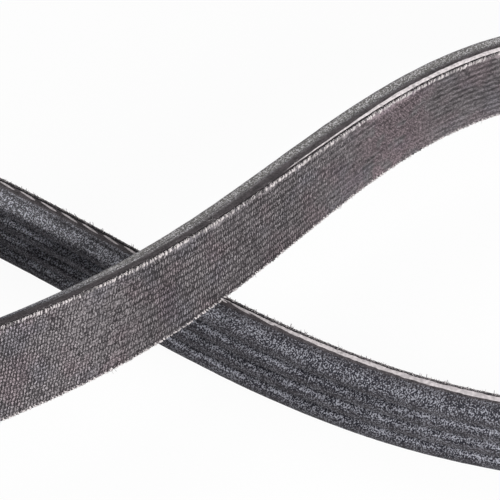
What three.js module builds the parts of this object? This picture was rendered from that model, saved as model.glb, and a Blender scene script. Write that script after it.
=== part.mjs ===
// A ribbed serpentine belt, endless and vulcanised in one piece.
//
// The belt stands on its cut edge and is pinched into a chain of three
// lobes. One run stays on the floor, the other passes over it at both
// crossings, so the closed band holds no twist. In the two end lobes the
// ribs face inwards, in the middle lobe they face outwards.
//
// Millimetres, +Z up. X runs along the chain of lobes. The origin lies in the
// middle of the belt's footprint, at floor level.

import * as THREE from 'three';

// Section: ribs along the belt under a flat woven back
const RIB_COUNT = 4;
const RIB_PITCH = 3.56;
const RIB_ANGLE = THREE.MathUtils.degToRad(40);
const RIB_HEIGHT = 2.3;
const GROOVE_ROOT_WIDTH = 0.5;
const CROWN_ROUNDING = 0.3;
const BACK_THICKNESS = 2.1;

// Lie of the belt
const CROSSING_GAP = 1;
const LEFT_LOBE_RADIUS = 45;
const LEFT_LOBE_CENTRE = new THREE.Vector2(-96, -11);
const RIGHT_LOBE_RADIUS = 36;
const RIGHT_LOBE_CENTRE = new THREE.Vector2(180, -3);
const LEFT_LOBE_LEAN = 30;
const LEFT_LOBE_SWEEP = [80, 280];
const RIGHT_LOBE_SWEEP = [-110, 110];
const LOBE_CONTROL_STEP = 40;

// Fineness of the solid
const STATION_STEP = 4.8;
const ROUNDING_FACETS = 1;

// Sizes that follow from the section
const BELT_WIDTH = RIB_COUNT * RIB_PITCH;
const BELT_THICKNESS = BACK_THICKNESS + RIB_HEIGHT;
const OVERPASS_HEIGHT = BELT_WIDTH + CROSSING_GAP;

// The over run, from the left lobe to the right one, as x, y and the lean in
// degrees. A leaning belt turns its woven back up.
const OVER_RUN = [
  [-66, -52, 30],
  [-47, -44.5, 27.5],
  [-22, -32, 21.5],
  [-3, -16.5, 12],
  [18, 7, 4],
  [37.5, 22, 0.5],
  [65, 27, 0],
  [87, 24, 0],
  [107, 11.5, 0],
  [125, -5, 0],
  [144, -22, 0],
];

// The floor run, from the right lobe back to the left one. A belt that leans
// the other way turns its ribs up.
const FLOOR_RUN = [
  [144, 17, 0],
  [127, -1, 0],
  [108, -20, 0],
  [88, -32, 0],
  [66, -37, 0],
  [43, -33.5, 2],
  [22, -28.5, 0],
  [0, -18, -3],
  [-22, -3.5, -5],
  [-44, 11, -5],
  [-66, 22, -2],
];

// A control point of the route: place in plan, lift from the floor (0) to the
// overpass (1), and lean.
function controlPoint(x, y, lift, lean) {
  return { x, y, lift, lean };
}

// Control points round the end of a lobe. They lie a little outside the arc,
// because the route rounds off the polygon that they make.
function lobeEnd(centre, radius, [from, to], liftAt, fullLean) {
  const steps = Math.round((to - from) / LOBE_CONTROL_STEP);
  const step = THREE.MathUtils.degToRad((to - from) / steps);
  const controlRadius = radius * 3 / (2 + Math.cos(step));
  const points = [];
  for (let i = 0; i <= steps; i++) {
    const angle = THREE.MathUtils.degToRad(from) + i * step;
    const lift = liftAt(i / steps);
    points.push(controlPoint(
      centre.x + controlRadius * Math.cos(angle),
      centre.y + controlRadius * Math.sin(angle),
      lift,
      fullLean * lift,
    ));
  }
  return points;
}

// The closed line that the back's lower corner follows: a smooth cubic curve
// guided by its control points.
class BeltRoute extends THREE.Curve {
  constructor(controls) {
    super();
    this.controls = controls;
    this.arcLengthDivisions = 40 * controls.length;
  }

  // One quantity of the control points, blended at place t of the loop.
  blend(t, quantity) {
    const count = this.controls.length;
    const place = t * count;
    const span = Math.floor(place);
    const f = place - span;
    const weights = [
      (1 - f) ** 3 / 6,
      (3 * f ** 3 - 6 * f ** 2 + 4) / 6,
      (-3 * f ** 3 + 3 * f ** 2 + 3 * f + 1) / 6,
      f ** 3 / 6,
    ];
    return weights.reduce((sum, weight, k) => {
      const control = this.controls[(span + k - 1 + count) % count];
      return sum + weight * control[quantity];
    }, 0);
  }

  leanAt(t) {
    return THREE.MathUtils.degToRad(this.blend(t, 'lean'));
  }

  getPoint(t, target = new THREE.Vector3()) {
    const rimRise = Math.max(0, BELT_THICKNESS * Math.sin(this.leanAt(t)));
    const height = OVERPASS_HEIGHT * this.blend(t, 'lift') + rimRise;
    return target.set(this.blend(t, 'x'), this.blend(t, 'y'), height);
  }
}

function beltRoute() {
  const climb = (share) => THREE.MathUtils.smoothstep(share, 0.25, 1.1);
  const descent = (share) => 1 - THREE.MathUtils.smoothstep(share, -0.1, 0.75);
  return new BeltRoute([
    ...OVER_RUN.map(([x, y, lean]) => controlPoint(x, y, 1, lean)),
    ...lobeEnd(RIGHT_LOBE_CENTRE, RIGHT_LOBE_RADIUS, RIGHT_LOBE_SWEEP, descent, 0),
    ...FLOOR_RUN.map(([x, y, lean]) => controlPoint(x, y, 0, lean)),
    ...lobeEnd(LEFT_LOBE_CENTRE, LEFT_LOBE_RADIUS, LEFT_LOBE_SWEEP, climb, LEFT_LOBE_LEAN),
  ]);
}

// The belt's section. x runs from the woven back to the rib crowns, y across
// the belt. The belt is cut to width in the middle of a groove, so half a
// groove root is left along each edge.
function beltSection() {
  const halfRoot = GROOVE_ROOT_WIDTH / 2;
  const flankRun = RIB_HEIGHT * Math.tan(RIB_ANGLE / 2);
  const flank = new THREE.Vector2(RIB_HEIGHT, flankRun).normalize();
  const section = new THREE.Shape();
  section.moveTo(0, 0);
  section.lineTo(BACK_THICKNESS, 0);
  for (let rib = 0; rib < RIB_COUNT; rib++) {
    const near = rib * RIB_PITCH + halfRoot;
    const far = (rib + 1) * RIB_PITCH - halfRoot;
    const crownNear = near + flankRun;
    const crownFar = far - flankRun;
    section.lineTo(BACK_THICKNESS, near);
    section.lineTo(
      BELT_THICKNESS - CROWN_ROUNDING * flank.x,
      crownNear - CROWN_ROUNDING * flank.y,
    );
    section.quadraticCurveTo(
      BELT_THICKNESS, crownNear,
      BELT_THICKNESS, crownNear + CROWN_ROUNDING,
    );
    section.lineTo(BELT_THICKNESS, crownFar - CROWN_ROUNDING);
    section.quadraticCurveTo(
      BELT_THICKNESS, crownFar,
      BELT_THICKNESS - CROWN_ROUNDING * flank.x, crownFar + CROWN_ROUNDING * flank.y,
    );
    section.lineTo(BACK_THICKNESS, far);
  }
  section.lineTo(BACK_THICKNESS, BELT_WIDTH);
  section.lineTo(0, BELT_WIDTH);
  return section.getPoints(ROUNDING_FACETS);
}

// The directions of the belt at place t of the route: towards the ribs, and
// from the lower cut edge to the upper one.
function beltAxes(route, t) {
  const along = route.getTangent(t);
  const toRibs = new THREE.Vector3(0, 0, 1).cross(along).normalize();
  const across = along.clone().cross(toRibs);
  const lean = route.leanAt(t);
  toRibs.applyAxisAngle(along, -lean);
  across.applyAxisAngle(along, -lean);
  return { toRibs, across };
}

// Sweeps the section round the closed route into one ring-shaped solid.
function sweptBelt(section, route) {
  const stations = Math.round(route.getLength() / STATION_STEP);
  const positions = [];
  for (let i = 0; i < stations; i++) {
    const t = route.getUtoTmapping(i / stations);
    const foot = route.getPoint(t);
    const { toRibs, across } = beltAxes(route, t);
    for (const corner of section) {
      const point = foot.clone();
      point.addScaledVector(toRibs, corner.x);
      point.addScaledVector(across, corner.y);
      positions.push(point.x, point.y, point.z);
    }
  }
  const faces = [];
  for (let i = 0; i < stations; i++) {
    const here = i * section.length;
    const next = ((i + 1) % stations) * section.length;
    for (let j = 0; j < section.length; j++) {
      const k = (j + 1) % section.length;
      faces.push(here + j, here + k, next + k);
      faces.push(here + j, next + k, next + j);
    }
  }
  const geometry = new THREE.BufferGeometry();
  geometry.setAttribute('position', new THREE.Float32BufferAttribute(positions, 3));
  geometry.setIndex(faces);
  return geometry;
}

// Puts the middle of the footprint at the origin, with the lowest edge at
// floor level.
function centreOnFloor(geometry) {
  geometry.computeBoundingBox();
  const { min, max } = geometry.boundingBox;
  geometry.translate(-(min.x + max.x) / 2, -(min.y + max.y) / 2, -min.z);
}

function makeBelt() {
  const geometry = sweptBelt(beltSection(), beltRoute());
  centreOnFloor(geometry);
  geometry.computeVertexNormals();
  const rubber = new THREE.MeshStandardMaterial({
    color: 0x5d5a5f,
    roughness: 0.85,
    metalness: 0,
  });
  const belt = new THREE.Mesh(geometry, rubber);
  belt.name = 'belt';
  return belt;
}

const part = new THREE.Group();
part.add(makeBelt());

export default part;
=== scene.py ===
import math

import bpy
import numpy as np
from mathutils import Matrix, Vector


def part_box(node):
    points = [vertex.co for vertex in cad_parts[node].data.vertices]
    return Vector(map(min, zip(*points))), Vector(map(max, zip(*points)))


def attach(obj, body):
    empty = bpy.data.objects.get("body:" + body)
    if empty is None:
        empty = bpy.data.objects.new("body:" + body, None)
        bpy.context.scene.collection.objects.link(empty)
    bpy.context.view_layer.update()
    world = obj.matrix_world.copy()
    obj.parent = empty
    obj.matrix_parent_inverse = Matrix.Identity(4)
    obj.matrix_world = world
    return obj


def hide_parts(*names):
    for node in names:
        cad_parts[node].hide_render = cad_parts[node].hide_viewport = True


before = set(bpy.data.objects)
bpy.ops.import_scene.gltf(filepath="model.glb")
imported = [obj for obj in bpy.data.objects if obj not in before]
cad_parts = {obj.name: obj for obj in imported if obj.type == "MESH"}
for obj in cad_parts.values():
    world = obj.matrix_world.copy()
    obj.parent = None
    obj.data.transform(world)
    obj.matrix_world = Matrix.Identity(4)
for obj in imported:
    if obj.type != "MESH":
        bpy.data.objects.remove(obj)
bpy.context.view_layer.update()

bl_info = {
    "name": "Ribbed serpentine belt",
    "version": (1, 0, 0),
    "blender": (4, 5, 0),
    "location": "View3D > Sidebar > Belt",
    "description": "Dresses a ribbed drive belt in rubber, fibre flock, woven fabric and cord",
    "category": "Mesh",
}

MM = 0.001
NODE = "belt"
BODY = "root"
COLLECTION = "Belt"

# Route of the belt, in metres and degrees: place in plan, then lean. These
# points repeat the ones that the solid was swept along.
OVER_RUN = [
    (-0.066, -0.052, 30),
    (-0.047, -0.0445, 27.5),
    (-0.022, -0.032, 21.5),
    (-0.003, -0.0165, 12),
    (0.018, 0.007, 4),
    (0.0375, 0.022, 0.5),
    (0.065, 0.027, 0),
    (0.087, 0.024, 0),
    (0.107, 0.0115, 0),
    (0.125, -0.005, 0),
    (0.144, -0.022, 0),
]
FLOOR_RUN = [
    (0.144, 0.017, 0),
    (0.127, -0.001, 0),
    (0.108, -0.020, 0),
    (0.088, -0.032, 0),
    (0.066, -0.037, 0),
    (0.043, -0.0335, 2),
    (0.022, -0.0285, 0),
    (0.0, -0.018, -3),
    (-0.022, -0.0035, -5),
    (-0.044, 0.011, -5),
    (-0.066, 0.022, -2),
]
LEFT_LOBE_CENTRE = (-0.096, -0.011)
LEFT_LOBE_SWEEP = (80, 280)
LEFT_LOBE_LEAN = 30
RIGHT_LOBE_CENTRE = (0.180, -0.003)
RIGHT_LOBE_SWEEP = (-110, 110)
LOBE_CONTROL_STEP = 40
ROUTE_DIVISIONS = 64


# Settings

def length(name, description, default):
    return bpy.props.FloatProperty(
        name=name, description=description, default=default, unit="LENGTH")


def angle(name, description, default):
    return bpy.props.FloatProperty(
        name=name, description=description, default=math.radians(default), subtype="ANGLE")


def colour(name, description, default):
    return bpy.props.FloatVectorProperty(
        name=name, description=description, default=default,
        subtype="COLOR", size=3, min=0, max=1)


class BeltSizes(bpy.types.PropertyGroup):
    """Sizes of the belt and of what shows on its surface"""

    rib_count: bpy.props.IntProperty(
        name="Ribs", description="Ribs across the belt", default=4, min=1)
    rib_pitch: length("Rib pitch", "From one rib to the next", 0.00356)
    rib_angle: angle("Rib angle", "Angle between the two flanks of a rib", 40)
    rib_height: length("Rib height", "From groove root to rib crown", 0.0023)
    root_width: length("Root width", "Flat at the bottom of a groove", 0.0005)
    back_thickness: length("Back thickness", "From the woven back to the groove roots", 0.0021)
    crown_radius: length("Crown radius", "Rounding of the rib crowns", 0.00035)
    fabric_thickness: length("Fabric thickness", "Woven layer on the back", 0.00038)
    row_pitch: length("Row pitch", "From one row of the weave to the next", 0.00114)
    row_depth: length("Row depth", "Depth of the valleys between the rows", 0.00006)
    thread_pitch: length("Thread pitch", "From one thread of the weave to the next", 0.00045)
    cord_radius: length("Cord radius", "Tensile cord under the fabric", 0.00038)
    cord_strands: bpy.props.IntProperty(
        name="Cord strands", description="Strands twisted into the cord", default=3, min=2)
    cord_lay: length("Cord lay", "Length of one full twist of the cord", 0.0117)
    cord_depth: length("Cord depth", "Middle of the cord, from the woven back", 0.00089)
    crossing_gap: length(
        "Crossing gap", "Between the floor run and the run over it", 0.001)
    left_lobe_radius: length("Left lobe radius", "Radius of the left lobe's end", 0.045)
    right_lobe_radius: length("Right lobe radius", "Radius of the right lobe's end", 0.036)
    station_step: length("Station step", "Length of one facet along the belt", 0.0014)


class BeltColours(bpy.types.PropertyGroup):
    """Colours of the belt's materials, as linear light"""

    rubber: colour("Rubber", "Bare rubber of the cut edges", (0.052, 0.045, 0.048))
    pit: colour("Pit", "Hollows between the fibres of the ribs", (0.012, 0.013, 0.020))
    flock: colour("Flock", "Chopped fibre that stands in the ribs", (0.300, 0.304, 0.342))
    thread: colour("Thread", "Raised threads of the woven back", (0.268, 0.244, 0.254))
    valley: colour("Valley", "Rubbed-in rubber between the threads", (0.024, 0.021, 0.023))
    cord: colour("Cord", "Tensile cord where it is cut open", (0.80, 0.74, 0.75))
    fray: colour("Fray", "Loose thread ends along the rim", (0.68, 0.63, 0.63))
    floor: colour("Floor", "Pale floor", (0.70, 0.70, 0.70))


class BeltStage(bpy.types.PropertyGroup):
    """Camera and light"""

    elevation: angle("Elevation", "Height of the view above the horizon", 52)
    distance: length("Distance", "From the camera to the middle of the view", 0.320)
    target_height: length("Target height", "Height of the middle of the view", 0.007)
    frame_width: length("Frame width", "What the picture spans at that distance", 0.0773)
    sky: bpy.props.FloatProperty(
        name="Sky", description="Strength of the even light all round", default=0.14)
    main_light: bpy.props.FloatProperty(
        name="Main light", description="Power of the soft box at the right front",
        default=1.75)
    back_light: bpy.props.FloatProperty(
        name="Back light", description="Power of the soft box above and behind",
        default=3.4)


# Route

def lobe_controls(centre, radius, sweep, lifts, full_lean):
    """Control points round the end of a lobe, a little outside its arc."""
    steps = round((sweep[1] - sweep[0]) / LOBE_CONTROL_STEP)
    step = math.radians((sweep[1] - sweep[0]) / steps)
    control_radius = radius * 3 / (2 + math.cos(step))
    points = []
    for i in range(steps + 1):
        turned = math.radians(sweep[0]) + i * step
        lift = lifts(i / steps)
        points.append((
            centre[0] + control_radius * math.cos(turned),
            centre[1] + control_radius * math.sin(turned),
            lift,
            full_lean * lift,
        ))
    return points


def smoothstep(x, low, high):
    """Eases from 0 at low to 1 at high."""
    t = np.clip((x - low) / (high - low), 0, 1)
    return t * t * (3 - 2 * t)


class BeltRoute:
    """The closed line under the back's lower corner, and the belt's axes along it."""

    def __init__(self, sizes):
        self.width = sizes.rib_count * sizes.rib_pitch
        self.thickness = sizes.back_thickness + sizes.rib_height
        self.rise = self.width + sizes.crossing_gap
        controls = [(x, y, 1, lean) for x, y, lean in OVER_RUN]
        controls += lobe_controls(
            RIGHT_LOBE_CENTRE, sizes.right_lobe_radius, RIGHT_LOBE_SWEEP,
            lambda share: 1 - smoothstep(share, -0.1, 0.75), 0)
        controls += [(x, y, 0, lean) for x, y, lean in FLOOR_RUN]
        controls += lobe_controls(
            LEFT_LOBE_CENTRE, sizes.left_lobe_radius, LEFT_LOBE_SWEEP,
            lambda share: smoothstep(share, 0.25, 1.1), LEFT_LOBE_LEAN)
        self.controls = np.array(controls, float)
        self.offset = np.zeros(3)
        count = len(self.controls)
        self.places = np.linspace(0, count, count * ROUTE_DIVISIONS + 1)
        line = self.foot(self.places)
        steps = np.linalg.norm(np.diff(line, axis=0), axis=1)
        self.lengths = np.concatenate([[0], np.cumsum(steps)])
        self.length = self.lengths[-1]
        self.offset = self.offset_to_frame()

    def blend(self, place):
        """Place in plan, lift and lean, blended from the control points around a place."""
        count = len(self.controls)
        span = np.floor(place).astype(int)
        f = (place - span)[:, None]
        weights = (
            (1 - f) ** 3 / 6,
            (3 * f ** 3 - 6 * f ** 2 + 4) / 6,
            (-3 * f ** 3 + 3 * f ** 2 + 3 * f + 1) / 6,
            f ** 3 / 6,
        )
        return sum(
            weight * self.controls[(span + k - 1) % count]
            for k, weight in enumerate(weights))

    def foot(self, place):
        """The back's lower corner at a place of the route."""
        x, y, lift, lean = self.blend(place).T
        rim_rise = np.maximum(0, self.thickness * np.sin(np.radians(lean)))
        return np.stack([x, y, self.rise * lift + rim_rise], axis=1) + self.offset

    def axes(self, s):
        """Foot, direction along the belt, to the ribs and across it, at lengths s."""
        place = np.interp(np.mod(s, self.length), self.lengths, self.places)
        step = 0.5 / ROUTE_DIVISIONS
        along = self.foot(place + step) - self.foot(place - step)
        along /= np.linalg.norm(along, axis=1, keepdims=True)
        level = np.cross((0, 0, 1), along)
        level /= np.linalg.norm(level, axis=1, keepdims=True)
        upright = np.cross(along, level)
        lean = np.radians(self.blend(place)[:, 3])[:, None]
        to_ribs = level * np.cos(lean) - upright * np.sin(lean)
        across = upright * np.cos(lean) + level * np.sin(lean)
        return self.foot(place), along, to_ribs, across

    def points(self, s, depth, height):
        """Points at lengths s, at a depth from the woven back and a height from the
        lower edge. depth and height hold one row for each length, or one row for all."""
        foot, _, to_ribs, across = self.axes(s)
        depth = np.atleast_2d(depth)[..., None]
        height = np.atleast_2d(height)[..., None]
        return foot[:, None] + depth * to_ribs[:, None] + height * across[:, None]

    def offset_to_frame(self):
        """Moves the route so that the belt's box lies in the middle of the node's box."""
        s = np.linspace(0, self.length, 2000)
        corners = self.points(
            s, [0, 0, self.thickness, self.thickness], [0, self.width, 0, self.width])
        low = corners.min(axis=(0, 1))
        high = corners.max(axis=(0, 1))
        box_low, box_high = (np.array(corner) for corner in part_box(NODE))
        shift = (box_low + box_high - low - high) / 2
        shift[2] = box_low[2]
        return shift


def stations_along(route, sizes):
    """Lengths along the belt where its section is placed."""
    count = round(route.length / sizes.station_step)
    return np.arange(count) * route.length / count


def part(x, start, full, fade, end):
    """1 from full to fade, 0 outside start to end, eased in between."""
    return smoothstep(x, start, full) * (1 - smoothstep(x, fade, end))


# The floor run, as shares of the loop: where it begins, is at its full, begins to fade
# and has ended.
FLOOR_PART = (0.40, 0.50, 0.80, 0.92)


def floor_share(s, loop_length):
    """1 along the floor run, 0 along the run over it."""
    return part(s / loop_length, *FLOOR_PART)


# Mesh tools

def mesh_object(name, vertices, material, *groups):
    """A smooth-shaded piece in the belt's collection, from points and from groups of
    faces with equally many corners."""
    corners = np.concatenate([faces.ravel() for faces in groups])
    sizes = np.concatenate([np.full(len(faces), faces.shape[1]) for faces in groups])
    mesh = bpy.data.meshes.new(name)
    mesh.vertices.add(len(vertices))
    mesh.vertices.foreach_set("co", np.asarray(vertices, np.float32).ravel())
    mesh.loops.add(len(corners))
    mesh.loops.foreach_set("vertex_index", corners.astype(np.int32))
    mesh.polygons.add(len(sizes))
    mesh.polygons.foreach_set("loop_start", (np.cumsum(sizes) - sizes).astype(np.int32))
    mesh.polygons.foreach_set("use_smooth", np.ones(len(sizes), bool))
    mesh.update(calc_edges=True)
    mesh.validate()
    mesh.materials.append(material)
    piece = bpy.data.objects.new(name, mesh)
    belt_collection().objects.link(piece)
    return piece


def belt_collection():
    collection = bpy.data.collections.get(COLLECTION)
    if collection is None:
        collection = bpy.data.collections.new(COLLECTION)
        bpy.context.scene.collection.children.link(collection)
    return collection


def point_values(piece, name, values):
    """Stores one number for each vertex, for the material to read."""
    attribute = piece.data.attributes.new(name, "FLOAT", "POINT")
    attribute.data.foreach_set("value", np.asarray(values, np.float32).ravel())


def grid_faces(rows, columns, closed):
    """Quads between rows of points. A closed grid meets itself both ways."""
    ends = 0 if closed else 1
    i, j = np.meshgrid(np.arange(rows - ends), np.arange(columns - ends), indexing="ij")
    next_i = (i + 1) % rows
    next_j = (j + 1) % columns
    corners = [
        i * columns + j, i * columns + next_j,
        next_i * columns + next_j, next_i * columns + j,
    ]
    return np.stack([corner.ravel() for corner in corners], axis=1)


def swept_ring(name, sizes, route, outline, material, rough=None):
    """A closed outline, as depth and height, swept round the route. Its surface map holds
    millimetres: the length along the belt and the way round the section."""
    s = stations_along(route, sizes)
    stations = len(s)
    section = len(outline)
    points = route.points(s, outline[:, 0], outline[:, 1])
    if rough is not None:
        _, _, to_ribs, _ = route.axes(s)
        points += rough[..., None] * to_ribs[:, None]
    piece = mesh_object(
        name, points.reshape(-1, 3), material, grid_faces(stations, section, True))
    along = np.append(s, route.length) / MM
    around = girths(outline) / MM
    i, j = np.meshgrid(np.arange(stations), np.arange(section), indexing="ij")
    corners = [(i, j), (i, j + 1), (i + 1, j + 1), (i + 1, j)]
    uv = np.stack(
        [np.stack([along[a], around[b]], axis=-1) for a, b in corners], axis=2)
    layer = piece.data.uv_layers.new(name="surface_mm")
    layer.data.foreach_set("uv", uv.astype(np.float32).ravel())
    return piece


def girths(outline):
    """Way round a closed outline at each of its points, and once more at its end."""
    closed = np.vstack([outline, outline[:1]])
    return np.concatenate([[0], np.cumsum(np.linalg.norm(np.diff(closed, axis=0), axis=1))])


def strand_piece(name, route, s, offsets, radii, sides, tones, material):
    """Many short tubes with closed ends, one at each length s. offsets holds how far the
    points of each strand lie along the belt from there, their depth and their height,
    and radii a radius for each point. None goes through the floor."""
    along, depth, height = offsets
    count, steps = along.shape
    paths = np.stack([
        route.points(s + along[:, k], depth[:, k:k + 1], height[:, k:k + 1])[:, 0]
        for k in range(steps)], axis=1)
    _, lengthwise, _, _ = route.axes(s)
    direction = np.gradient(paths, axis=1)
    direction /= np.linalg.norm(direction, axis=2, keepdims=True)
    first = np.cross(direction, lengthwise[:, None])
    first /= np.linalg.norm(first, axis=2, keepdims=True)
    second = np.cross(direction, first)
    turn = np.arange(sides) * 2 * math.pi / sides
    circle = (
        first[:, :, None] * np.cos(turn)[:, None]
        + second[:, :, None] * np.sin(turn)[:, None])
    paths[..., 2] = np.maximum(paths[..., 2], radii)
    rings = paths[:, :, None] + circle * radii[:, :, None, None]
    vertices = np.concatenate([rings.reshape(count, -1, 3), paths[:, [0, -1]]], axis=1)
    j = np.arange(sides)
    next_j = (j + 1) % sides
    walls = np.concatenate([
        np.stack([j, next_j, sides + next_j, sides + j], axis=1) + k * sides
        for k in range(steps - 1)])
    last = (steps - 1) * sides
    tip = np.full(sides, steps * sides)
    ends = np.concatenate([
        np.stack([next_j, j, tip], axis=1),
        np.stack([last + j, last + next_j, tip + 1], axis=1)])
    per_strand = vertices.shape[1]
    starts = (np.arange(count) * per_strand)[:, None, None]
    piece = mesh_object(
        name, vertices.reshape(-1, 3), material,
        (walls[None] + starts).reshape(-1, 4), (ends[None] + starts).reshape(-1, 3))
    point_values(piece, "tone", np.repeat(tones, per_strand))
    on_belt(piece)


def on_belt(piece):
    """Parents a piece to the belt's body and hides the node's own mesh."""
    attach(piece, BODY)
    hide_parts(NODE)


# Material tools

class Amount:
    """A number that a material works out for each point, with the usual signs."""

    def __init__(self, sheet, socket):
        self.sheet = sheet
        self.socket = socket

    def __add__(self, other):
        return self.sheet.math("ADD", self, other)

    def __sub__(self, other):
        return self.sheet.math("SUBTRACT", self, other)

    def __rsub__(self, other):
        return self.sheet.math("SUBTRACT", other, self)

    def __mul__(self, other):
        return self.sheet.math("MULTIPLY", self, other)

    def __truediv__(self, other):
        return self.sheet.math("DIVIDE", self, other)


class NodeSheet:
    """Short words for the nodes of one material."""

    def __init__(self, name):
        self.material = bpy.data.materials.new(name)
        self.material.use_nodes = True
        self.tree = self.material.node_tree
        self.shader = self.tree.nodes["Principled BSDF"]

    def feed(self, socket, value):
        """Links a socket to an amount or a socket, or sets it to a plain value."""
        if isinstance(value, Amount):
            value = value.socket
        if isinstance(value, bpy.types.NodeSocket):
            self.tree.links.new(value, socket)
        else:
            socket.default_value = value

    def node(self, kind, inputs=(), **settings):
        """A node with its settings and its first inputs, in order."""
        node = self.tree.nodes.new(kind)
        for key, value in settings.items():
            setattr(node, key, value)
        for socket, value in zip(node.inputs, inputs):
            self.feed(socket, value)
        return node

    def math(self, operation, *values):
        return Amount(self, self.node("ShaderNodeMath", values, operation=operation).outputs[0])

    def smaller(self, a, b):
        return self.math("MINIMUM", a, b)

    def larger(self, a, b):
        return self.math("MAXIMUM", a, b)

    def ramp(self, value, low, high, to_low=0.0, to_high=1.0):
        """Eases value from low..high to to_low..to_high."""
        node = self.node(
            "ShaderNodeMapRange", (value, low, high, to_low, to_high),
            interpolation_type="SMOOTHSTEP")
        return Amount(self, node.outputs[0])

    def between(self, share, a, b):
        """Amount a where share is 0, b where it is 1."""
        return (1 - share) * a + share * b

    def vector(self, x, y, z):
        return self.node("ShaderNodeCombineXYZ", (x, y, z)).outputs[0]

    def noise(self, vector, scale, detail):
        node = self.node("ShaderNodeTexNoise", noise_dimensions="3D")
        self.feed(node.inputs["Vector"], vector)
        self.feed(node.inputs["Scale"], scale)
        self.feed(node.inputs["Detail"], detail)
        return Amount(self, node.outputs["Fac"])

    def dice(self, vector):
        """A random number for each whole-number cell."""
        node = self.node("ShaderNodeTexWhiteNoise", (vector,), noise_dimensions="3D")
        return Amount(self, node.outputs["Value"])

    def value_of(self, name):
        """The number that the piece stores at its points."""
        return Amount(self, self.node("ShaderNodeAttribute", attribute_name=name).outputs["Fac"])

    def mix(self, share, a, b, blend="MIX"):
        """Colour a where share is 0, and b, or its blend with a, where share is 1."""
        node = self.node("ShaderNodeMix", (share,), data_type="RGBA", blend_type=blend)
        for socket, value in ((node.inputs[6], a), (node.inputs[7], b)):
            self.feed(socket, value if isinstance(value, bpy.types.NodeSocket) else (*value, 1))
        return node.outputs[2]

    def scaled(self, tint, strength):
        """A colour made lighter or darker."""
        node = self.node("ShaderNodeVectorMath", (tint,), operation="SCALE")
        self.feed(node.inputs["Scale"], strength)
        return node.outputs[0]

    def finish(self, tint, roughness, height, depth):
        """Sends colour, roughness and relief to the shader. depth is in metres."""
        self.feed(self.shader.inputs["Base Color"], tint)
        self.feed(self.shader.inputs["Roughness"], roughness)
        bump = self.node("ShaderNodeBump")
        self.feed(bump.inputs["Distance"], depth)
        self.feed(bump.inputs["Height"], height)
        self.feed(self.shader.inputs["Normal"], bump.outputs[0])
        return self.material


class LoopSheet(NodeSheet):
    """The nodes of a material that runs round the loop. along and around are the length
    along the belt and the way round its section, in millimetres."""

    def __init__(self, name, loop_length):
        super().__init__(name)
        self.loop_length = loop_length
        surface = self.node("ShaderNodeUVMap", uv_map="surface_mm").outputs[0]
        split = self.node("ShaderNodeSeparateXYZ", (surface,))
        self.along = Amount(self, split.outputs[0])
        self.around = Amount(self, split.outputs[1])

    def whole_steps(self, pitch):
        """The pitch closest to this one that divides the loop into whole steps."""
        return self.loop_length / round(self.loop_length / pitch)

    def part(self, start, full, fade, end):
        """1 from full to fade along the belt, 0 outside start to end, eased in between."""
        return self.ramp(self.along, start, full) * self.ramp(self.along, fade, end, 1.0, 0.0)

    def loop_noise(self, layer, scale, detail=2.0, stretch=1.0, even_across=False):
        """Noise that meets itself where the loop closes. stretch below 1 draws it out along
        the belt, and each layer has noise of its own."""
        radius = self.loop_length / (2 * math.pi)
        turned = self.along / radius
        place = self.vector(
            self.math("COSINE", turned) * (radius * stretch),
            self.math("SINE", turned) * (radius * stretch),
            layer if even_across else self.around + layer)
        return self.noise(place, scale, detail)


# Woven material

# Parts of the loop, as millimetres along the belt: where each begins, is at its full,
# begins to fade and has ended. The rows of threads show from their start to this far
# before the loop closes, and the rest of the weave is close and grainy.
ROWS_START = (42, 64)
ROWS_END = (60, 20)
DARKER_STRETCH = (47, 56, 61, 71)
WORN = (84, 108, 190, 260)
BARED_TWILL = (98, 106, 112, 121)
FUZZY_RIM = (50, 70, 200, 300)
WIDEST_RIM = (103, 105, 111, 115)
# Pitches in millimetres, and the twill's direction along and across the belt.
CLOSE_PITCH = 0.52
TWILL_PITCH = 0.40
TWILL_ALONG = 0.80
TWILL_ACROSS = -0.60
# Tints that patches of the fabric are multiplied by, and the fabric's cut side.
REDDISH = (1.08, 0.89, 0.94)
BLUISH = (0.90, 0.94, 1.03)
CUT_FABRIC = (0.022, 0.021, 0.022)


def beads(sheet, along, across, pitch, row_pitch, slant, stagger):
    """Rows of short slanted threads: how far a place is from the middle of its thread,
    0 in the middle and 1 at its rim, and a random number for each thread. All lengths
    are in millimetres."""
    row_place = across / row_pitch
    row = sheet.math("FLOOR", row_place)
    in_row = sheet.math("FRACT", row_place) - 0.5
    place = along / pitch + (in_row * (slant * row_pitch / pitch) + row * stagger)
    in_thread = sheet.math("FRACT", place) - 0.5
    chance = sheet.dice(sheet.vector(sheet.math("FLOOR", place), row, pitch))
    beside = in_thread * 2.5
    above = in_row * 2.0
    return beside * beside + above * above, chance


def thread_rows(sheet, along, across, row_pitch, thread_pitch):
    """Open rows of slanted threads, some paler than others."""
    off, chance = beads(sheet, along, across, thread_pitch, row_pitch, 0.40, 0.37)
    return sheet.ramp(off, 0.10, 1.15, 1.0, 0.0) * sheet.ramp(chance, 0.0, 1.0, 0.35, 1.90)


def close_knots(sheet, along, across, row_pitch):
    """Small knots in rows half as far apart."""
    close_pitch = sheet.whole_steps(CLOSE_PITCH)
    off, chance = beads(sheet, along, across, close_pitch, row_pitch / 2, 0.3, 0.5)
    return sheet.ramp(off, 0.15, 1.30, 1.0, 0.0) * sheet.ramp(chance, 0.0, 1.0, 0.35, 2.95)


def worn_streaks(sheet, across, row_pitch):
    """Faint streaks along the belt, where the threads are rubbed away."""
    ridges = sheet.math("SINE", across * (2 * math.pi / row_pitch))
    drawn_out = sheet.loop_noise(15, 2.4, stretch=0.30)
    return sheet.ramp(drawn_out, 0.28, 0.74, 0.15, 0.45) + ridges * 0.15


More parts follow.
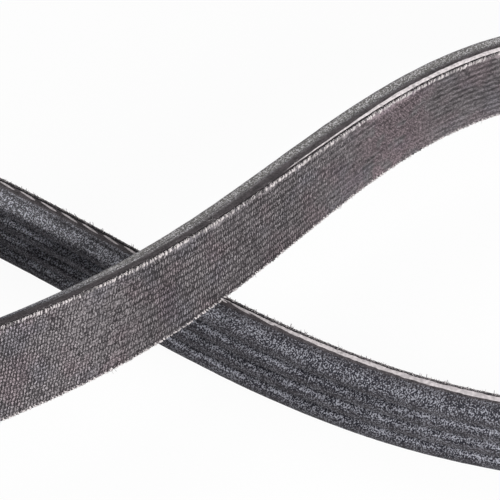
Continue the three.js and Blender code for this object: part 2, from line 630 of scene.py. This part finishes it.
def bared_twill(sheet, uneven, jitter):
    """Fine slanted lines of the twill under the rubbed threads."""
    crossing = sheet.along * TWILL_ALONG + sheet.around * TWILL_ACROSS + uneven * 1.6
    lines = sheet.math("SINE", crossing * (2 * math.pi / TWILL_PITCH)) + 1.4
    return lines * sheet.ramp(jitter, 0.3, 0.7, 0.12, 0.42)


def rim_fuzz(sheet, jitter):
    """Pale fuzz along the lower rim, in a band of changing width."""
    wide = sheet.larger(
        sheet.ramp(sheet.loop_noise(50, 0.22, even_across=True), 0.46, 0.60),
        sheet.part(*WIDEST_RIM))
    band = sheet.ramp(sheet.around, 0.25, wide + 0.65, 1.0, 0.0) * sheet.part(*FUZZY_RIM)
    return band * (sheet.ramp(jitter, 0.35, 0.6, 0.15, 0.7) + wide * 0.25)


def woven_material(sizes, colours, loop_length):
    """Fabric back: close and grainy at first, then rows of short slanted threads with
    dark hollows round them, then worn to faint streaks. Lengths are in millimetres."""
    sheet = LoopSheet("woven_back", loop_length)
    row_pitch = sizes.row_pitch / MM
    thread_pitch = sheet.whole_steps(sizes.thread_pitch / MM)
    close = 1 - sheet.part(*ROWS_START, *(loop_length - left for left in ROWS_END))
    worn = sheet.part(*WORN)
    twilled = sheet.part(*BARED_TWILL) * sheet.ramp(sheet.loop_noise(40, 0.30), 0.38, 0.52)

    jitter = sheet.loop_noise(25, 2.4, 0.0)
    wander = (sheet.loop_noise(0, 0.35) - 0.5) * 0.55 + (jitter - 0.5) * 0.52
    uneven = (sheet.loop_noise(9, 1.6) - 0.5) * 0.7
    along = sheet.along + uneven
    across = sheet.around + wander * sheet.ramp(worn, 0.0, 1.0, 1.0, 0.45)

    cover = sheet.between(
        close, thread_rows(sheet, along, across, row_pitch, thread_pitch),
        close_knots(sheet, along, across, row_pitch))
    cover = sheet.between(worn, cover, worn_streaks(sheet, across, row_pitch))
    cover = sheet.between(twilled * 0.6, cover, bared_twill(sheet, uneven, jitter))
    cover = cover + sheet.ramp(sheet.around, 8.0, 14.0) * worn * 0.15
    cover = cover * sheet.ramp(
        sheet.loop_noise(2, 3.3, 1.0), 0.28, 0.72,
        sheet.ramp(worn, 0.0, 1.0, 0.10, 0.35), sheet.ramp(worn, 0.0, 1.0, 2.0, 1.65))
    cover = cover + sheet.ramp(sheet.loop_noise(31, 0.5), 0.3, 0.7, -0.04, 0.06)
    cover = cover + rim_fuzz(sheet, jitter)

    tint = sheet.mix(sheet.smaller(cover, 1.0), colours.valley, colours.thread)
    # Painted highlight: where cover passes 0.9 the raised threads are lightened up to 1.45
    # times.
    tint = sheet.scaled(tint, sheet.ramp(cover, 0.9, 2.4, 1.0, 1.45))
    # The fabric is darker, by up to 14 percent, over one stretch of the loop.
    darker_stretch_tone = sheet.ramp(sheet.part(*DARKER_STRETCH), 0.0, 1.0, 1.0, 0.86)
    tint = sheet.scaled(tint, close * 0.16 + darker_stretch_tone)
    warm = sheet.ramp(sheet.loop_noise(9, 0.17), 0.46, 0.66)
    cool = sheet.ramp(sheet.loop_noise(21, 0.14), 0.48, 0.68)
    tint = sheet.mix(sheet.larger(warm * 0.45, twilled * 0.7), tint, REDDISH, "MULTIPLY")
    tint = sheet.mix(cool * 0.55, tint, BLUISH, "MULTIPLY")
    tint = sheet.mix(sheet.value_of("cut") * 0.9, tint, CUT_FABRIC)
    roughness = sheet.ramp(cover, 0.0, 1.0, 0.92, 0.80)
    sheet.shader.inputs["Specular IOR Level"].default_value = 0.3
    return sheet.finish(tint, roughness, cover, 0.00010)


# Rubber material

# Parts of the loop where pale dust and painted light lie on the ribs, in millimetres
# along the belt: on the run over the floor run, and on the floor run past the crossing.
# The painted light lightens the flanks that face up.
DUST_AND_LIGHT_OVER = (36, 60, 180, 300)
DUST_AND_LIGHT_UNDER = (600, 655, 680, 760)
# Where the uppermost flank begins and is at its full, as millimetres round the section
# back from the end of the upper cut edge.
UPPERMOST_FLANK = (4.8, 4.3)
FLOCKED_GROUND = (0.033, 0.033, 0.043)
PALE_DUST_AND_LIGHT = (0.31, 0.31, 0.29)
WARM_DUST_AND_LIGHT = (1.0, 0.965, 0.91)
SEAM_PAINTED_SHADE = (0.008, 0.008, 0.009)


def rubber_material(colours, loop_length, upper_edge):
    """Ribbed rubber: bare and smooth on the cut edges, full of pale fibre on the ribs."""
    sheet = LoopSheet("ribbed_rubber", loop_length)
    flock_and_highlight = sheet.value_of("flock")
    covered = sheet.smaller(flock_and_highlight, 1.0)
    uppermost = covered * sheet.ramp(
        sheet.around, *(upper_edge - back for back in UPPERMOST_FLANK))
    # Pale dust and painted light on the flanks that face up: the uppermost flank on the over
    # run, and the upper flanks on the floor run past the crossing.
    dust_and_light_over = uppermost * sheet.part(*DUST_AND_LIGHT_OVER)
    dust_and_light_under = sheet.part(*DUST_AND_LIGHT_UNDER) * sheet.larger(
        uppermost, sheet.ramp(flock_and_highlight, 0.75, 1.15))
    dust_and_painted_light = dust_and_light_over + dust_and_light_under * 0.36
    # Flock amounts above 1 are painted highlight: they lighten the upper flanks by the crown
    # corners.
    painted_highlight = sheet.larger(flock_and_highlight - 1.0, 0.0) * sheet.ramp(
        sheet.loop_noise(27, 0.6, 1.0, stretch=0.5), 0.40, 0.60, 0.35, 1.30)

    grain = sheet.loop_noise(0, 4.0, 1.0, stretch=1.2)
    fine = sheet.loop_noise(4, 6.0, 0.0, stretch=1.2)
    patches = sheet.loop_noise(7, 0.5, stretch=0.4)
    clumps = sheet.loop_noise(17, 2.2, 1.0, stretch=1.2)
    specks = grain * 0.68 + fine * 0.32 + (patches - 0.5) * 0.16
    specks = specks + (clumps - 0.5) * (dust_and_painted_light * 0.3) + painted_highlight * 0.05
    bright = sheet.ramp(specks, 0.51, 0.61) * covered
    hollow = sheet.ramp(specks, 0.47, 0.41) * covered
    scuff = sheet.loop_noise(12, 2.0, 3.0, stretch=0.25) * 0.5 + grain * 0.5

    ground = sheet.scaled(colours.rubber, sheet.ramp(scuff, 0.34, 0.66, 0.50, 1.65))
    ground = sheet.mix(covered * 0.7, ground, FLOCKED_GROUND)
    tint = sheet.mix(hollow, ground, colours.pit)
    tint = sheet.mix(bright, tint, colours.flock)
    tint = sheet.scaled(tint, painted_highlight * 0.4 + 1.0)
    # Painted light and dust: these flanks are lightened up to 3.6 times, paled and, on the over
    # run, warmed.
    tint = sheet.scaled(tint, dust_and_painted_light * 2.6 + 1.0)
    tint = sheet.mix(dust_and_painted_light * 0.46, tint, PALE_DUST_AND_LIGHT)
    tint = sheet.mix(dust_and_light_over, tint, WARM_DUST_AND_LIGHT, "MULTIPLY")
    # Painted shade: the seam's recess under the fabric is painted near black.
    tint = sheet.mix(sheet.value_of("seam"), tint, SEAM_PAINTED_SHADE)
    roughness = sheet.ramp(covered, 0.0, 1.0, 0.66, 0.90)
    relief = specks * covered + scuff * 0.12
    sheet.shader.inputs["Specular IOR Level"].default_value = 0.25
    return sheet.finish(tint, roughness, relief, 0.00018)


# Yarn material

def yarn_material(name, tint, dark, roughness, scale=2600.0, detail=2.0,
                  shades=(0.7, 1.15), relief=0.00004):
    """Cord, threads and fibres: each point has its tone between dark and pale, and fine
    fibres vary it."""
    sheet = NodeSheet(name)
    place = sheet.node("ShaderNodeTexCoord").outputs["Object"]
    fibres = sheet.noise(place, scale, detail)
    shade = sheet.value_of("tone") * sheet.ramp(fibres, 0.3, 0.7, *shades)
    return sheet.finish(
        sheet.mix(sheet.smaller(shade, 1.0), dark, tint), roughness, fibres, relief)


# Ribbed body

def corner_arc(start, corner, end, radius, steps):
    """Points of an arc that rounds the corner between two straight stretches."""
    start, corner, end = (np.array(p, float) for p in (start, corner, end))
    back = (start - corner) / np.linalg.norm(start - corner)
    on = (end - corner) / np.linalg.norm(end - corner)
    half = math.acos(np.clip(back @ on, -1, 1)) / 2
    reach = radius / math.tan(half)
    middle = corner + (back + on) / np.linalg.norm(back + on) * radius / math.sin(half)
    first = corner + back * reach - middle
    last = corner + on * reach - middle
    turn = math.pi - 2 * half
    points = []
    for i in range(steps + 1):
        share = i / steps
        a = math.sin((1 - share) * turn) / math.sin(turn)
        b = math.sin(share * turn) / math.sin(turn)
        points.append(middle + a * first + b * last)
    return points


def straight(start, end, steps):
    """Points between two ends, both left out."""
    start, end = np.array(start, float), np.array(end, float)
    return [start + (end - start) * i / steps for i in range(1, steps)]


# How much flock a rib's flank carries, from the groove root to the crown, inside the
# belt and on the two outermost flanks. Amounts above 1 are painted highlight: they
# lighten the upper flank by the crown corner.
FLANK_FLOCK_AND_HIGHLIGHT = (1.0, 1.0, 1.1, 1.3, 1.9, 1.6)
OUTER_FLANK_FLOCK_AND_HIGHLIGHT = (0.6, 0.9, 1.1, 1.2, 1.1, 0.8)
# How much the crown's rounding, its middle and the corner of the cut edge carry, and the
# cut edge this far from the corner.
ROUNDING_FLOCK = 0.7
CROWN_FLOCK = 0.5
CORNER_FLOCK = 0.6
EDGE_FLOCK = 0.1
EDGE_FLOCK_REACH = 0.0003
# The seam under the fabric: its depth, and how far below the fabric its bottom begins and
# ends and its lip lies.
SEAM_DEPTH = 0.0002
SEAM_BOTTOM = (0.00005, 0.00012)
SEAM_LIP = 0.00016
# Where flock has crept onto the cut edges of the over run, as lengths along the belt, and
# from which depth on.
CREPT_OVER = (0.040, 0.056, 0.066, 0.088)
CREPT_DEPTH = 0.0013
FIBRE_HEIGHT = 0.000022


def cut_edge(sizes):
    """Points of the lower cut edge, from the fabric to the ribs, each with its flock."""
    seam = sizes.fabric_thickness
    lip = (seam + SEAM_LIP, 0.0)
    turn = (sizes.back_thickness - EDGE_FLOCK_REACH, 0.0)
    bare = [(seam, 0.0), *((seam + depth, SEAM_DEPTH) for depth in SEAM_BOTTOM), lip]
    bare += straight(lip, turn, 5)
    edge = [(point, 0.0) for point in bare]
    return edge + [(turn, EDGE_FLOCK), ((sizes.back_thickness, 0.0), CORNER_FLOCK)]


def rib_half(root, crown_corner, middle, radius, amounts):
    """Points of half a rib, from the groove root up to the crown, each with its flock."""
    flank = [np.array(root), *straight(root, crown_corner, len(amounts))]
    rounding = corner_arc(root, crown_corner, middle, radius, 3)
    return list(zip(flank, amounts)) + [(point, ROUNDING_FLOCK) for point in rounding]


def rib_outline(sizes):
    """Closed outline of the rubber under the fabric, as depth from the back and height
    from the lower edge, with how much flock each point carries. Amounts above 1 add a
    painted highlight on the upper flanks by the crown corners. The flock is worn off
    the crowns."""
    width = sizes.rib_count * sizes.rib_pitch
    floor = sizes.back_thickness
    crown = floor + sizes.rib_height
    run = sizes.rib_height * math.tan(sizes.rib_angle / 2)
    half_root = sizes.root_width / 2
    edge = cut_edge(sizes)
    outline = list(edge)
    for rib in range(sizes.rib_count):
        near = rib * sizes.rib_pitch + half_root
        far = (rib + 1) * sizes.rib_pitch - half_root
        middle = (crown, (near + far) / 2)
        first = OUTER_FLANK_FLOCK_AND_HIGHLIGHT if rib == 0 else FLANK_FLOCK_AND_HIGHLIGHT
        last = OUTER_FLANK_FLOCK_AND_HIGHLIGHT if rib == sizes.rib_count - 1 else FLANK_FLOCK_AND_HIGHLIGHT
        outline += rib_half(
            (floor, near), (crown, near + run), middle, sizes.crown_radius, first)
        outline.append((middle, CROWN_FLOCK))
        outline += reversed(rib_half(
            (floor, far), (crown, far - run), middle, sizes.crown_radius, last))
    outline += [((point[0], width - point[1]), amount) for point, amount in reversed(edge)]
    points, flock = zip(*outline)
    return np.array(points), np.array(flock)


class BELT_OT_ribbed_body(bpy.types.Operator):
    """Sweep the ribbed rubber body round the route"""

    bl_idname = "belt.ribbed_body"
    bl_label = "Ribbed body"

    def execute(self, context):
        sizes = context.scene.belt_sizes
        route = BeltRoute(sizes)
        outline, flock = rib_outline(sizes)
        s = stations_along(route, sizes)
        crept = floor_share(s, route.length) + part(s, *CREPT_OVER)
        flock = flock + self.crept_flock(sizes, outline) * crept[:, None]
        random = np.random.default_rng(11)
        rough = random.normal(0, FIBRE_HEIGHT, flock.shape) * flock
        material = rubber_material(
            context.scene.belt_colours, route.length / MM, girths(outline)[-2] / MM)
        piece = swept_ring("ribbed_body", sizes, route, outline, material, rough)
        seam = outline[:, 0] < sizes.fabric_thickness + SEAM_BOTTOM[1] + 0.00001
        point_values(piece, "flock", flock)
        point_values(piece, "seam", np.tile(seam, len(s)))
        on_belt(piece)
        return {"FINISHED"}

    def crept_flock(self, sizes, outline):
        """How much flock creeps round onto the cut edges at each point of the outline."""
        depth = outline[:, 0]
        root = sizes.back_thickness
        return part(depth, CREPT_DEPTH, root, root - 0.0001, root)


# Woven back

POINTS_PER_ROW = 4


def fabric_outline(sizes):
    """Closed outline of the fabric: rows of weave outside, flat where it is bonded."""
    width = sizes.rib_count * sizes.rib_pitch
    height = np.linspace(width, 0, round(width / sizes.row_pitch * POINTS_PER_ROW) + 1)
    wave = 0.5 + 0.5 * np.cos(2 * math.pi * height / sizes.row_pitch)
    outer = np.stack([sizes.row_depth * wave, height], axis=1)
    inner = [(sizes.fabric_thickness, 0.0), (sizes.fabric_thickness, width)]
    return np.vstack([outer, inner])


class BELT_OT_woven_back(bpy.types.Operator):
    """Lay the woven fabric on the belt's back"""

    bl_idname = "belt.woven_back"
    bl_label = "Woven back"

    def execute(self, context):
        sizes = context.scene.belt_sizes
        route = BeltRoute(sizes)
        outline = fabric_outline(sizes)
        material = woven_material(sizes, context.scene.belt_colours, route.length / MM)
        piece = swept_ring("woven_back", sizes, route, outline, material)
        bonded = outline[:, 0] > sizes.row_depth * 2
        point_values(piece, "cut", np.tile(bonded, len(stations_along(route, sizes))))
        on_belt(piece)
        return {"FINISHED"}


# Tensile cord along the cut edges

# The cord winds through the belt in a slow helix, so a cut edge meets it, bares it for
# two thirds of the loop and leaves it again. Metres past the place where the cut meets
# the cord, and how wide the cut lays it open there, in cord radii.
CORD_RUN = (0, 0.003, 0.0135, 0.023, 0.060, 0.487, 0.513, 0.527, 0.539)
CORD_BARED = (0, 0.24, 0.38, 0.90, 1.0, 1.05, 0.80, 0.25, 0)
# Where the cut leaves the cord it only skims the strands: the cord's distance from the
# cut, in cord radii. A strand's own radius and its turn's are in cord radii too.
SKIM_RUN = (0.504, 0.527, 0.564, 0.624, 0.664)
SKIM_DISTANCE = (0.62, 0.84, 0.88, 0.92, 1.08)
STRAND_RADIUS = 0.56
STRAND_TURN = 0.50
# How much closer to the fabric the cord lies along the floor run.
FLOOR_CORD_SHIFT = 0.00011
UPPER_CORD_START = 0.0868
LOWER_CORD_START = 0.560
CORD_STEP = 0.0004
STRAND_STEP = 0.00035
# A ribbon of cord stands this far out of the cut edge. Its foot lies hidden under the
# rubber, and one narrower than this stands out less.
CORD_RISE = 0.00008
CORD_FOOT = 0.00004
CORD_NARROW = 0.00016
CORD_SHADE = (0.10, 0.09, 0.095)


class BELT_OT_tensile_cord(bpy.types.Operator):
    """Lay bare the tensile cord along both cut edges"""

    bl_idname = "belt.tensile_cord"
    bl_label = "Tensile cord"

    def execute(self, context):
        sizes = context.scene.belt_sizes
        route = BeltRoute(sizes)
        material = yarn_material(
            "tensile_cord", context.scene.belt_colours.cord, CORD_SHADE, 0.85,
            scale=2200.0, detail=3.0, shades=(0.62, 1.08), relief=0.00005)
        for name, start, edge, outward in (
            ("upper_edge_cord", UPPER_CORD_START, route.width, 1),
            ("lower_edge_cord", LOWER_CORD_START, 0.0, -1),
        ):
            ribbons = [self.open_cord(sizes)] + [
                self.skimmed_strand(sizes, strand) for strand in range(sizes.cord_strands)]
            self.make_ribbons(name, route, start, edge, outward, ribbons, material)
        return {"FINISHED"}

    def open_cord(self, sizes):
        """Length, middle and half width of the cord where the cut lays it open."""
        run = np.arange(0, CORD_RUN[-1], CORD_STEP)
        random = np.random.default_rng(23)
        bared = np.interp(run, CORD_RUN, CORD_BARED)
        twist = 2 * math.pi * run / sizes.cord_lay * sizes.cord_strands
        half = sizes.cord_radius * bared * (
            1 + 0.05 * np.sin(twist) + 0.05 * random.normal(0, 1, len(run)))
        middle = sizes.cord_depth - 0.55 * sizes.cord_radius * (1 - bared)
        return run, middle + 0.000015 * np.cos(twist), half

    def skimmed_strand(self, sizes, strand):
        """Length, middle and half width of one strand where the cut only skims it."""
        strand_radius = STRAND_RADIUS * sizes.cord_radius
        turn_radius = STRAND_TURN * sizes.cord_radius
        run = np.arange(SKIM_RUN[0], SKIM_RUN[-1], STRAND_STEP)
        distance = np.interp(run, SKIM_RUN, SKIM_DISTANCE) * sizes.cord_radius
        twist = 2 * math.pi * (run / sizes.cord_lay + strand / sizes.cord_strands)
        beside = turn_radius * np.cos(twist) - distance
        half = np.sqrt(np.maximum(strand_radius ** 2 - beside ** 2, 0))
        return run, sizes.cord_depth - turn_radius * np.sin(twist), half

    def make_ribbons(self, name, route, start, edge, outward, ribbons, material):
        """Low rounded ribbons on a cut edge. Where one has no width it lies hidden under
        the rubber."""
        random = np.random.default_rng(29)
        across = np.linspace(-1, 1, 5)
        points = []
        faces = []
        tones = []
        for run, middle, half in ribbons:
            on_floor = floor_share((start + run) % route.length, route.length)
            middle = middle - FLOOR_CORD_SHIFT * on_floor
            uneven = drift(run, CORD_RUN[-1], random, 0.009, 0.0012)
            half = half * (1 + (0.03 + 0.07 * on_floor) * uneven)
            swell = np.sqrt(np.minimum(half / CORD_NARROW, 1))[:, None] * (
                1 - 0.45 * across ** 2)
            ribbon = route.points(
                start + run, middle[:, None] + half[:, None] * across,
                edge + outward * (CORD_RISE * swell - CORD_FOOT))
            if outward < 0:
                ribbon = ribbon[:, ::-1]
            first = sum(len(row) for row in points)
            points.append(ribbon.reshape(-1, 3))
            faces.append(grid_faces(len(run), len(across), False) + first)
            tone = random.normal(0.95, 0.06, len(run)) * (1 - 0.34 * on_floor)
            tones.append(np.repeat(tone, len(across)))
        piece = mesh_object(name, np.concatenate(points), material, np.concatenate(faces))
        point_values(piece, "tone", np.concatenate(tones))
        on_belt(piece)


# Threads along the rims of the fabric

# A rim thread's radius, and how far it reaches back from the rim and leans along it, each
# as a mean and a spread. Then its depth at each of its points, and its height past the
# rim at the last two.
RIM_THREAD_RADIUS = (0.00014, 0.000024)
RIM_THREAD_BACK = (0.00036, 0.00011)
RIM_THREAD_LEAN = (0.00013, 0.00009)
RIM_THREAD_DEPTH = (0.00002, -0.00005, 0.00003, 0.00019)
RIM_THREAD_TURN = (-0.00004, -0.00003)
RIM_THREAD_SHADE = (0.035, 0.033, 0.035)
FRAYED_ENDS = 7600
FRAYED_SHADE = (0.022, 0.021, 0.023)
# The least that a frayed end reaches past the rim, and about how much further it goes.
# How far it leans, as a spread, and the ranges of its depth and radius. Last, how far it
# curls towards the ribs, as a mean and a spread.
FRAYED_REACH = 0.00008
FRAYED_EXCESS = 0.00008
FRAYED_LEAN = 0.00016
FRAYED_DEPTHS = (0.00004, 0.00032)
FRAYED_RADII = (0.00003, 0.00007)
FRAYED_CURL = (-0.00004, 0.00008)


def drift(s, loop_length, random, longest, shortest):
    """A smooth random value, about -1 to 1, that meets itself where the loop closes."""
    waves = random.integers(loop_length / longest, loop_length / shortest, 14)
    starts = random.uniform(0, 2 * math.pi, 14)
    turns = 2 * math.pi * np.asarray(s)[:, None] / loop_length * waves + starts
    return np.cos(turns).sum(axis=1) / math.sqrt(14)


class BELT_OT_rim_threads(bpy.types.Operator):
    """Set the row of thread loops along both rims of the fabric"""

    bl_idname = "belt.rim_threads"
    bl_label = "Rim threads"

    def execute(self, context):
        sizes = context.scene.belt_sizes
        route = BeltRoute(sizes)
        material = yarn_material(
            "rim_thread", context.scene.belt_colours.fray, RIM_THREAD_SHADE, 0.85)
        for seed, name, edge, outward in (
            (31, "upper_rim_threads", route.width, 1),
            (32, "lower_rim_threads", 0.0, -1),
        ):
            random = np.random.default_rng(seed)
            self.make_threads(name, sizes, route, edge, outward, random, material)
        return {"FINISHED"}

    def make_threads(self, name, sizes, route, edge, outward, random, material):
        """Short loops that lie on the last row of the weave and bend over the rim."""
        count = round(route.length / sizes.thread_pitch)
        s = (np.arange(count) + random.normal(0, 0.26, count)) * route.length / count
        back = random.normal(*RIM_THREAD_BACK, count)
        lean = random.normal(*RIM_THREAD_LEAN, count)
        along = lean[:, None] * (-1, -0.3, 0.5, 1)
        turned = np.tile(RIM_THREAD_TURN, (count, 1))
        height = edge + outward * np.hstack([back[:, None] * (-1, -0.45), turned])
        depth = np.tile(RIM_THREAD_DEPTH, (count, 1))
        on_floor = floor_share(s, route.length)
        radius = random.normal(*RIM_THREAD_RADIUS, count) * (1 - 0.36 * on_floor)
        radii = radius[:, None] * (0.6, 1.0, 1.0, 0.6)
        pale = 0.92 + 0.26 * drift(s, route.length, random, 0.060, 0.006)
        tones = pale * (1 - 0.44 * on_floor) + random.normal(0, 0.24, count)
        strand_piece(
            name, route, s, (along, depth, height), radii, 5, np.clip(tones, 0.04, 1), material)


class BELT_OT_frayed_ends(bpy.types.Operator):
    """Fray the rims of the fabric, most of all along the floor run"""

    bl_idname = "belt.frayed_ends"
    bl_label = "Frayed ends"

    def execute(self, context):
        route = BeltRoute(context.scene.belt_sizes)
        material = yarn_material(
            "frayed_end", context.scene.belt_colours.fray, FRAYED_SHADE, 0.9)
        random = np.random.default_rng(41)
        s = random.uniform(0, route.length, FRAYED_ENDS)
        upper = random.random(FRAYED_ENDS) < 0.6
        on_floor = floor_share(s, route.length)
        rough = np.where(upper, 0.30 + 1.10 * on_floor, 0.28)
        tuft = np.clip(drift(s, route.length, random, 0.02, 0.0012), 0, 2)
        reach = FRAYED_REACH + random.gamma(2.0, FRAYED_EXCESS, FRAYED_ENDS)
        reach = (reach * rough * (0.8 + 0.9 * tuft))[:, None]
        edge = np.where(upper, route.width, 0.0)[:, None]
        outward = np.where(upper, 1.0, -1.0)[:, None]
        share = np.array([0.0, 0.5, 1.0])
        along = random.normal(0, FRAYED_LEAN, FRAYED_ENDS)[:, None] * share
        height = edge + outward * (reach * share - 0.00006 * (1 - share))
        depth = random.uniform(*FRAYED_DEPTHS, FRAYED_ENDS)[:, None] + (
            random.normal(*FRAYED_CURL, FRAYED_ENDS)[:, None] * share)
        radii = random.uniform(*FRAYED_RADII, FRAYED_ENDS)[:, None] * (1.0, 0.9, 0.5)
        tones = random.gamma(2.0, 0.27, FRAYED_ENDS) + 0.5 * (1 - on_floor)
        strand_piece(
            "frayed_ends", route, s, (along, depth, height), radii, 4,
            np.clip(tones, 0.02, 0.95), material)
        return {"FINISHED"}


# Loose fibres

# Tufts of pulled fibre: length along the belt and whether on the upper edge.
TUFTS = (
    (0.0740, True),
    (0.0903, True),
    (0.1132, True),
    (0.5969, True),
    (0.0520, False),
    (0.0792, False),
    (0.0975, False),
)
FIBRES_PER_TUFT = 16
LINT_FIBRES = 1300
FIBRE_RADIUS = 0.00003
FIBRE_SHADE = (0.05, 0.05, 0.055)
# Half the mean reach of a fibre past the edge, in a tuft and as lint, and the spreads of
# its place in a tuft, of its lean along the belt and of its curl.
TUFT_REACH = 0.00013
LINT_REACH = 0.00007
TUFT_SPREAD = 0.0003
FIBRE_LEAN = 0.00030
FIBRE_CURL = 0.00016
# How far from the woven back a fibre is rooted in the cut edge.
ROOT_DEPTHS = (0.0, 0.0002, 0.0005, 0.0009)


class BELT_OT_loose_fibres(bpy.types.Operator):
    """Scatter lint and tufts of pulled fibre along the edges"""

    bl_idname = "belt.loose_fibres"
    bl_label = "Loose fibres"

    def execute(self, context):
        route = BeltRoute(context.scene.belt_sizes)
        random = np.random.default_rng(47)
        material = yarn_material(
            "loose_fibre", context.scene.belt_colours.fray, FIBRE_SHADE, 0.9)
        s = np.concatenate([random.uniform(0, route.length, LINT_FIBRES)] + [
            random.normal(place, TUFT_SPREAD, FIBRES_PER_TUFT) for place, _ in TUFTS])
        upper = np.concatenate([random.random(LINT_FIBRES) < 0.5] + [
            np.full(FIBRES_PER_TUFT, on_top) for _, on_top in TUFTS])
        count = len(s)
        in_tuft = np.arange(count) >= LINT_FIBRES
        edge = np.where(upper, route.width, 0.0)[:, None]
        outward = np.where(upper, 1.0, -1.0)[:, None]
        root = random.choice(ROOT_DEPTHS, count)[:, None]
        reach = random.gamma(2.0, np.where(in_tuft, TUFT_REACH, LINT_REACH))[:, None]
        drifted = random.normal(0, FIBRE_LEAN, count)[:, None]
        curl = random.normal(0, FIBRE_CURL, count)[:, None]
        share = np.linspace(0, 1, 5)
        height = edge + outward * (reach * share - 0.00005)
        depth = root + curl * share ** 2 - 0.0001 * share
        along = drifted * share ** 1.5
        radii = np.tile(FIBRE_RADIUS * np.array([1, 1, 0.9, 0.7, 0.4]), (count, 1))
        tones = np.clip(random.normal(0.45, 0.22, count), 0.05, 1)
        strand_piece(
            "loose_fibres", route, s, (along, depth, height), radii, 4, tones, material)
        return {"FINISHED"}


# Stage

# The soft boxes, from the middle of the view, and their sizes.
MAIN_LIGHT_PLACE = (0.218, -0.260, 0.212)
MAIN_LIGHT_SIZE = 0.18
BACK_LIGHT_PLACE = (-0.16, 0.36, 0.70)
BACK_LIGHT_SIZE = 0.5
FLOOR_SIZE = 6.0
# How much of the floor that the camera sees is plain white. The rest takes the shadow.
FLOOR_WHITE = 0.95


class BELT_OT_stage(bpy.types.Operator):
    """Set the floor, the light and the camera"""

    bl_idname = "belt.stage"
    bl_label = "Stage"

    def execute(self, context):
        stage = context.scene.belt_stage
        colours = context.scene.belt_colours
        target = self.view_centre(context)
        self.make_floor(colours)
        self.make_world(context, stage)
        self.make_soft_box(
            "main_light", target, MAIN_LIGHT_PLACE, MAIN_LIGHT_SIZE, stage.main_light)
        self.make_soft_box(
            "back_light", target, BACK_LIGHT_PLACE, BACK_LIGHT_SIZE, stage.back_light)
        self.make_camera(context, stage, target)
        return {"FINISHED"}

    def view_centre(self, context):
        """The route's own origin, close to the left crossing, at the height looked at."""
        route = BeltRoute(context.scene.belt_sizes)
        centre = Vector(route.offset)
        centre.z = context.scene.belt_stage.target_height
        return centre

    def make_floor(self, colours):
        half = FLOOR_SIZE / 2
        corners = [(-half, -half, 0), (half, -half, 0), (half, half, 0), (-half, half, 0)]
        sheet = NodeSheet("pale_floor")
        sheet.feed(sheet.shader.inputs["Base Color"], (*colours.floor, 1))
        sheet.shader.inputs["Roughness"].default_value = 0.9
        path = sheet.node("ShaderNodeLightPath").outputs
        seen = sheet.larger(
            path["Is Camera Ray"],
            sheet.larger(path["Is Glossy Ray"], path["Is Transmission Ray"]))
        glow = sheet.node("ShaderNodeEmission", ((1, 1, 1, 1),))
        blend = sheet.node("ShaderNodeMixShader", (
            seen * FLOOR_WHITE, sheet.shader.outputs[0], glow.outputs[0]))
        sheet.feed(sheet.tree.nodes["Material Output"].inputs["Surface"], blend.outputs[0])
        mesh_object("floor", corners, sheet.material, np.array([[0, 1, 2, 3]]))

    def make_world(self, context, stage):
        world = bpy.data.worlds.new("studio")
        context.scene.world = world
        world.use_nodes = True
        background = world.node_tree.nodes["Background"]
        background.inputs["Color"].default_value = (1, 1, 1, 1)
        background.inputs["Strength"].default_value = stage.sky

    def make_soft_box(self, name, target, place, size, power):
        light = bpy.data.lights.new(name, "AREA")
        light.shape = "SQUARE"
        light.size = size
        light.energy = power
        box = bpy.data.objects.new(name, light)
        box.location = target + Vector(place)
        box.rotation_mode = "QUATERNION"
        box.rotation_quaternion = (-Vector(place)).to_track_quat("-Z", "Y")
        belt_collection().objects.link(box)

    def make_camera(self, context, stage, target):
        camera = bpy.data.cameras.new("camera")
        camera.sensor_width = 36
        camera.lens = camera.sensor_width * stage.distance / stage.frame_width
        camera.clip_start = 0.01
        camera.clip_end = 20
        back = Vector((0, -math.cos(stage.elevation), math.sin(stage.elevation)))
        holder = bpy.data.objects.new("camera", camera)
        holder.location = target + back * stage.distance
        holder.rotation_mode = "QUATERNION"
        holder.rotation_quaternion = (-back).to_track_quat("-Z", "Y")
        belt_collection().objects.link(holder)
        context.scene.camera = holder
        context.scene.view_settings.view_transform = "Standard"


# Panel and start

OPERATORS = (
    BELT_OT_ribbed_body,
    BELT_OT_woven_back,
    BELT_OT_tensile_cord,
    BELT_OT_rim_threads,
    BELT_OT_frayed_ends,
    BELT_OT_loose_fibres,
    BELT_OT_stage,
)


class BELT_PT_sidebar(bpy.types.Panel):
    """Buttons that make the belt's pieces and its stage"""

    bl_idname = "BELT_PT_sidebar"
    bl_label = "Ribbed belt"
    bl_space_type = "VIEW_3D"
    bl_region_type = "UI"
    bl_category = "Belt"

    def draw(self, context):
        for operator in OPERATORS:
            self.layout.operator(operator.bl_idname)


CLASSES = (BeltSizes, BeltColours, BeltStage, *OPERATORS, BELT_PT_sidebar)


def register():
    for item in CLASSES:
        bpy.utils.register_class(item)
    bpy.types.Scene.belt_sizes = bpy.props.PointerProperty(type=BeltSizes)
    bpy.types.Scene.belt_colours = bpy.props.PointerProperty(type=BeltColours)
    bpy.types.Scene.belt_stage = bpy.props.PointerProperty(type=BeltStage)


def unregister():
    del bpy.types.Scene.belt_stage
    del bpy.types.Scene.belt_colours
    del bpy.types.Scene.belt_sizes
    for item in reversed(CLASSES):
        bpy.utils.unregister_class(item)


def main():
    register()
    bpy.ops.belt.ribbed_body()
    bpy.ops.belt.woven_back()
    bpy.ops.belt.tensile_cord()
    bpy.ops.belt.rim_threads()
    bpy.ops.belt.frayed_ends()
    bpy.ops.belt.loose_fibres()
    bpy.ops.belt.stage()


if __name__ == "__main__":
    main()
